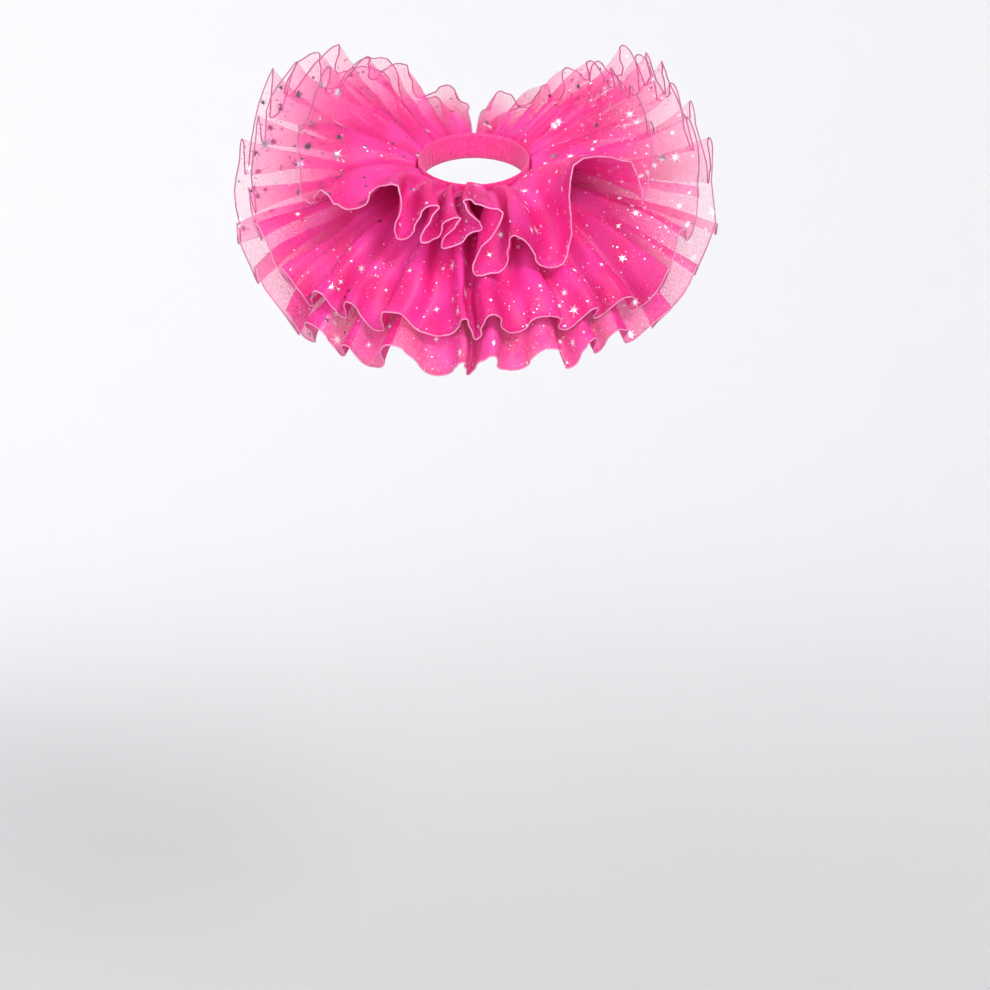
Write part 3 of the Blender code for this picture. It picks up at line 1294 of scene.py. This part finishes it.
@dataclass(frozen=True)
class Collar:
    """The whole collar."""

    ruffles: tuple[Ruffle, ...] = (
        Ruffle(
            "lower_frill",
            "lower_ruffle",
            seam_mm=-10.0,
            width_mm=208.0,
            neck_cut_m=1.2,
            seed=5,
            creases=LOWER_CREASES,
        ),
        Ruffle(
            "middle_frill",
            "middle_ruffle",
            seam_mm=0.0,
            width_mm=188.0,
            neck_cut_m=1.1,
            seed=6,
            creases=MIDDLE_CREASES,
            back_deg=6.0,
            front_deg=5.0,
            leave_deg=5.0,
        ),
        Ruffle(
            "top_frill",
            "top_ruffle",
            seam_mm=10.0,
            width_mm=140.0,
            neck_cut_m=1.1,
            seed=7,
            creases=TOP_CREASES,
            back_deg=8.0,
            front_deg=40.0,
            leave_deg=22.0,
            front_folds=FRONT_FOLDS,
        ),
    )
    band: Neckband = field(default_factory=Neckband)

    def build(self) -> None:
        """Make, dress and report each piece."""
        thread = ThreadFinish("hem_thread")
        hems = RolledHem(thread)
        organza = OrganzaFinish("sheer_organza").material()
        foil = FoilPrint(FoilFinish("silver_foil"))
        for ruffle in self.ruffles:
            piece, middle, points = ruffle.build(organza)
            hem = hems.sew(f"{ruffle.name}_hem", ruffle.edge(points))
            printed = foil.press(f"{ruffle.name}_foil", middle)
            LOG.info("%s: %d faces", printed.name, len(printed.data.polygons))
            for cloth in (piece, hem, printed):
                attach(cloth, BODY)
            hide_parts(ruffle.node)
            length = float(np.linalg.norm(np.diff(points[:, -1], axis=0), axis=1).sum()) * MM
            width = ruffle.width_mm * MM
            width * (length + ruffle.neck_cut_m) / 2
            LOG.info("%s: %d faces, hem %.2f m long", piece.name, len(piece.data.polygons), length)
        self.build_band(thread)

    def build_band(self, thread: ThreadFinish) -> None:
        """Make the neckband and its stitches.

        Args:
            thread: The sewing thread.
        """
        casing = self.band.build(BandFinish("band_cloth").material())
        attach(casing, BODY)
        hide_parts("neckband")
        rows = StitchRow(replace(thread, name="band_thread"))
        height = self.band.cut.height_mm / 2 - self.band.stitch_inset_mm
        radius = self.band.cut.radius_mm - self.band.stitch_proud_mm
        for name, side in (("upper_stitches", 1), ("lower_stitches", -1)):
            row = rows.sew(name, self.band.ring(side * height, radius))
            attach(row, BODY)
            LOG.info("%s: %d faces", row.name, len(row.data.polygons))


@dataclass(frozen=True)
class Lamp:
    """A soft box: where it stands, how wide it is, how strong and what it lights."""

    name: str
    place_m: tuple[float, float, float]
    wide_m: float
    watts: float
    aim_m: tuple[float, float, float] = (0.0, 0.0, 0.0)


@dataclass(frozen=True)
class Studio:
    """A pale round sweep, soft boxes and the camera."""

    floor_m: float = -1.35
    inner_m: float = 3.2
    outer_m: float = 5.2
    top_m: float = 4.5
    paling: float = 0.12
    # Painted shade on the paper: it goes from the darker floor colour low down to the pale wall colour up
    # the sweep, between these heights.
    painted_shade_m: tuple[float, float] = (-1.7, 0.1)
    wall_paper: Colour = (0.91, 0.905, 0.915, 1.0)
    shaded_floor_paper: Colour = (0.56, 0.545, 0.55, 1.0)
    lamps: tuple[Lamp, ...] = (
        Lamp("key", (1.2, -2.5, 1.9), 0.9, 80.0),
        Lamp("fill", (-1.6, -2.8, 0.5), 1.4, 46.0),
        Lamp("wall_wash", (-1.6, 1.2, 2.6), 1.6, 52.0, (-0.8, 5.0, 0.2)),
    )
    air: float = 0.75
    around: int = 96
    bend_step_deg: int = 3
    camera_m: float = 3.0
    rise_deg: float = 8.0
    aim_px: tuple[float, float] = (474.0, 171.0)
    middle_px: float = 495.0
    px_per_mm: float = 0.893
    picture_px: float = 990.0
    sensor_mm: float = 36.0

    def sweep(self) -> None:
        """The floor, which curves up into a wall all round."""
        bend = self.outer_m - self.inner_m
        profile = [(0.0, self.floor_m)]
        profile += [
            (
                self.inner_m + bend * math.sin(math.radians(turn)),
                self.floor_m + bend * (1 - math.cos(math.radians(turn))),
            )
            for turn in range(0, 91, self.bend_step_deg)
        ]
        profile.append((self.outer_m, self.top_m))
        points = [
            (radius * math.cos(turn), radius * math.sin(turn), height)
            for turn in (2 * math.pi * n / self.around for n in range(self.around))
            for radius, height in profile
        ]
        rows = len(profile)
        faces = [
            (here + m, there + m, there + m + 1, here + m + 1)
            for here, there in ((n * rows, (n + 1) % self.around * rows) for n in range(self.around))
            for m in range(rows - 1)
        ]
        mesh = mesh_of("paper_sweep", np.array(points) / MM, faces)
        board = Board("studio_paper")
        place = board.place()
        x, y, height = board.split(place)
        far = (x * x + y * y) * self.paling
        # Painted shade: the paper is painted darker low down and near the middle, and paler up the wall
        # and farther out, with a little random mottling.
        painted_shade = (height + far + board.noise(place, 1.5) * 0.1).ramp(*self.painted_shade_m)
        paper = board.blend(painted_shade, self.shaded_floor_paper, self.wall_paper)
        mesh.materials.append(board.finish(board.principled({"Base Color": paper, "Roughness": 0.9})))
        link("paper_sweep", mesh)

    def light(self) -> None:
        """The soft boxes and the room's own light."""
        for lamp in self.lamps:
            data = bpy.data.lights.new(lamp.name, "AREA")
            data.shape = "DISK"
            data.size = lamp.wide_m
            data.energy = lamp.watts
            box = link(lamp.name, data)
            box.location = lamp.place_m
            aim = Vector(lamp.aim_m) - Vector(lamp.place_m)
            box.rotation_euler = aim.to_track_quat("-Z", "Y").to_euler()
        world = bpy.data.worlds.new("studio_air")
        world.use_nodes = True
        glow = world.node_tree.nodes["Background"]
        glow.inputs["Color"].default_value = (0.96, 0.97, 1.0, 1.0)
        glow.inputs["Strength"].default_value = self.air
        bpy.context.scene.world = world

    def shoot(self) -> None:
        """The camera, level with the photograph's own."""
        focal_px = self.px_per_mm * self.camera_m / MM
        side_m = (self.middle_px - self.aim_px[0]) / focal_px * self.camera_m
        rise = math.radians(self.rise_deg)
        pitch = rise + math.atan((self.middle_px - self.aim_px[1]) / focal_px)
        data = bpy.data.cameras.new("camera")
        data.sensor_width = self.sensor_mm
        data.lens = focal_px * self.sensor_mm / self.picture_px
        camera = link("camera", data)
        camera.location = (side_m, -self.camera_m * math.cos(rise), self.camera_m * math.sin(rise))
        camera.rotation_euler = (math.pi / 2 - pitch, 0.0, 0.0)
        bpy.context.scene.camera = camera

    def build(self) -> None:
        """Set up the whole studio."""
        scene = bpy.context.scene
        scene.view_settings.view_transform = "Standard"
        scene.cycles.transparent_max_bounces = 48
        scene.cycles.max_bounces = 5
        scene.cycles.diffuse_bounces = 2
        scene.cycles.glossy_bounces = 1
        scene.cycles.caustics_reflective = False
        scene.cycles.caustics_refractive = False
        scene.cycles.light_sampling_threshold = 0.05
        scene.cycles.adaptive_threshold = 0.05
        self.shoot()
        self.sweep()
        self.light()


def main() -> None:
    """Build the collar in its studio."""
    logging.basicConfig(level=logging.INFO, format="%(message)s")
    Studio().build()
    Collar().build()


if __name__ == "__main__":
    main()
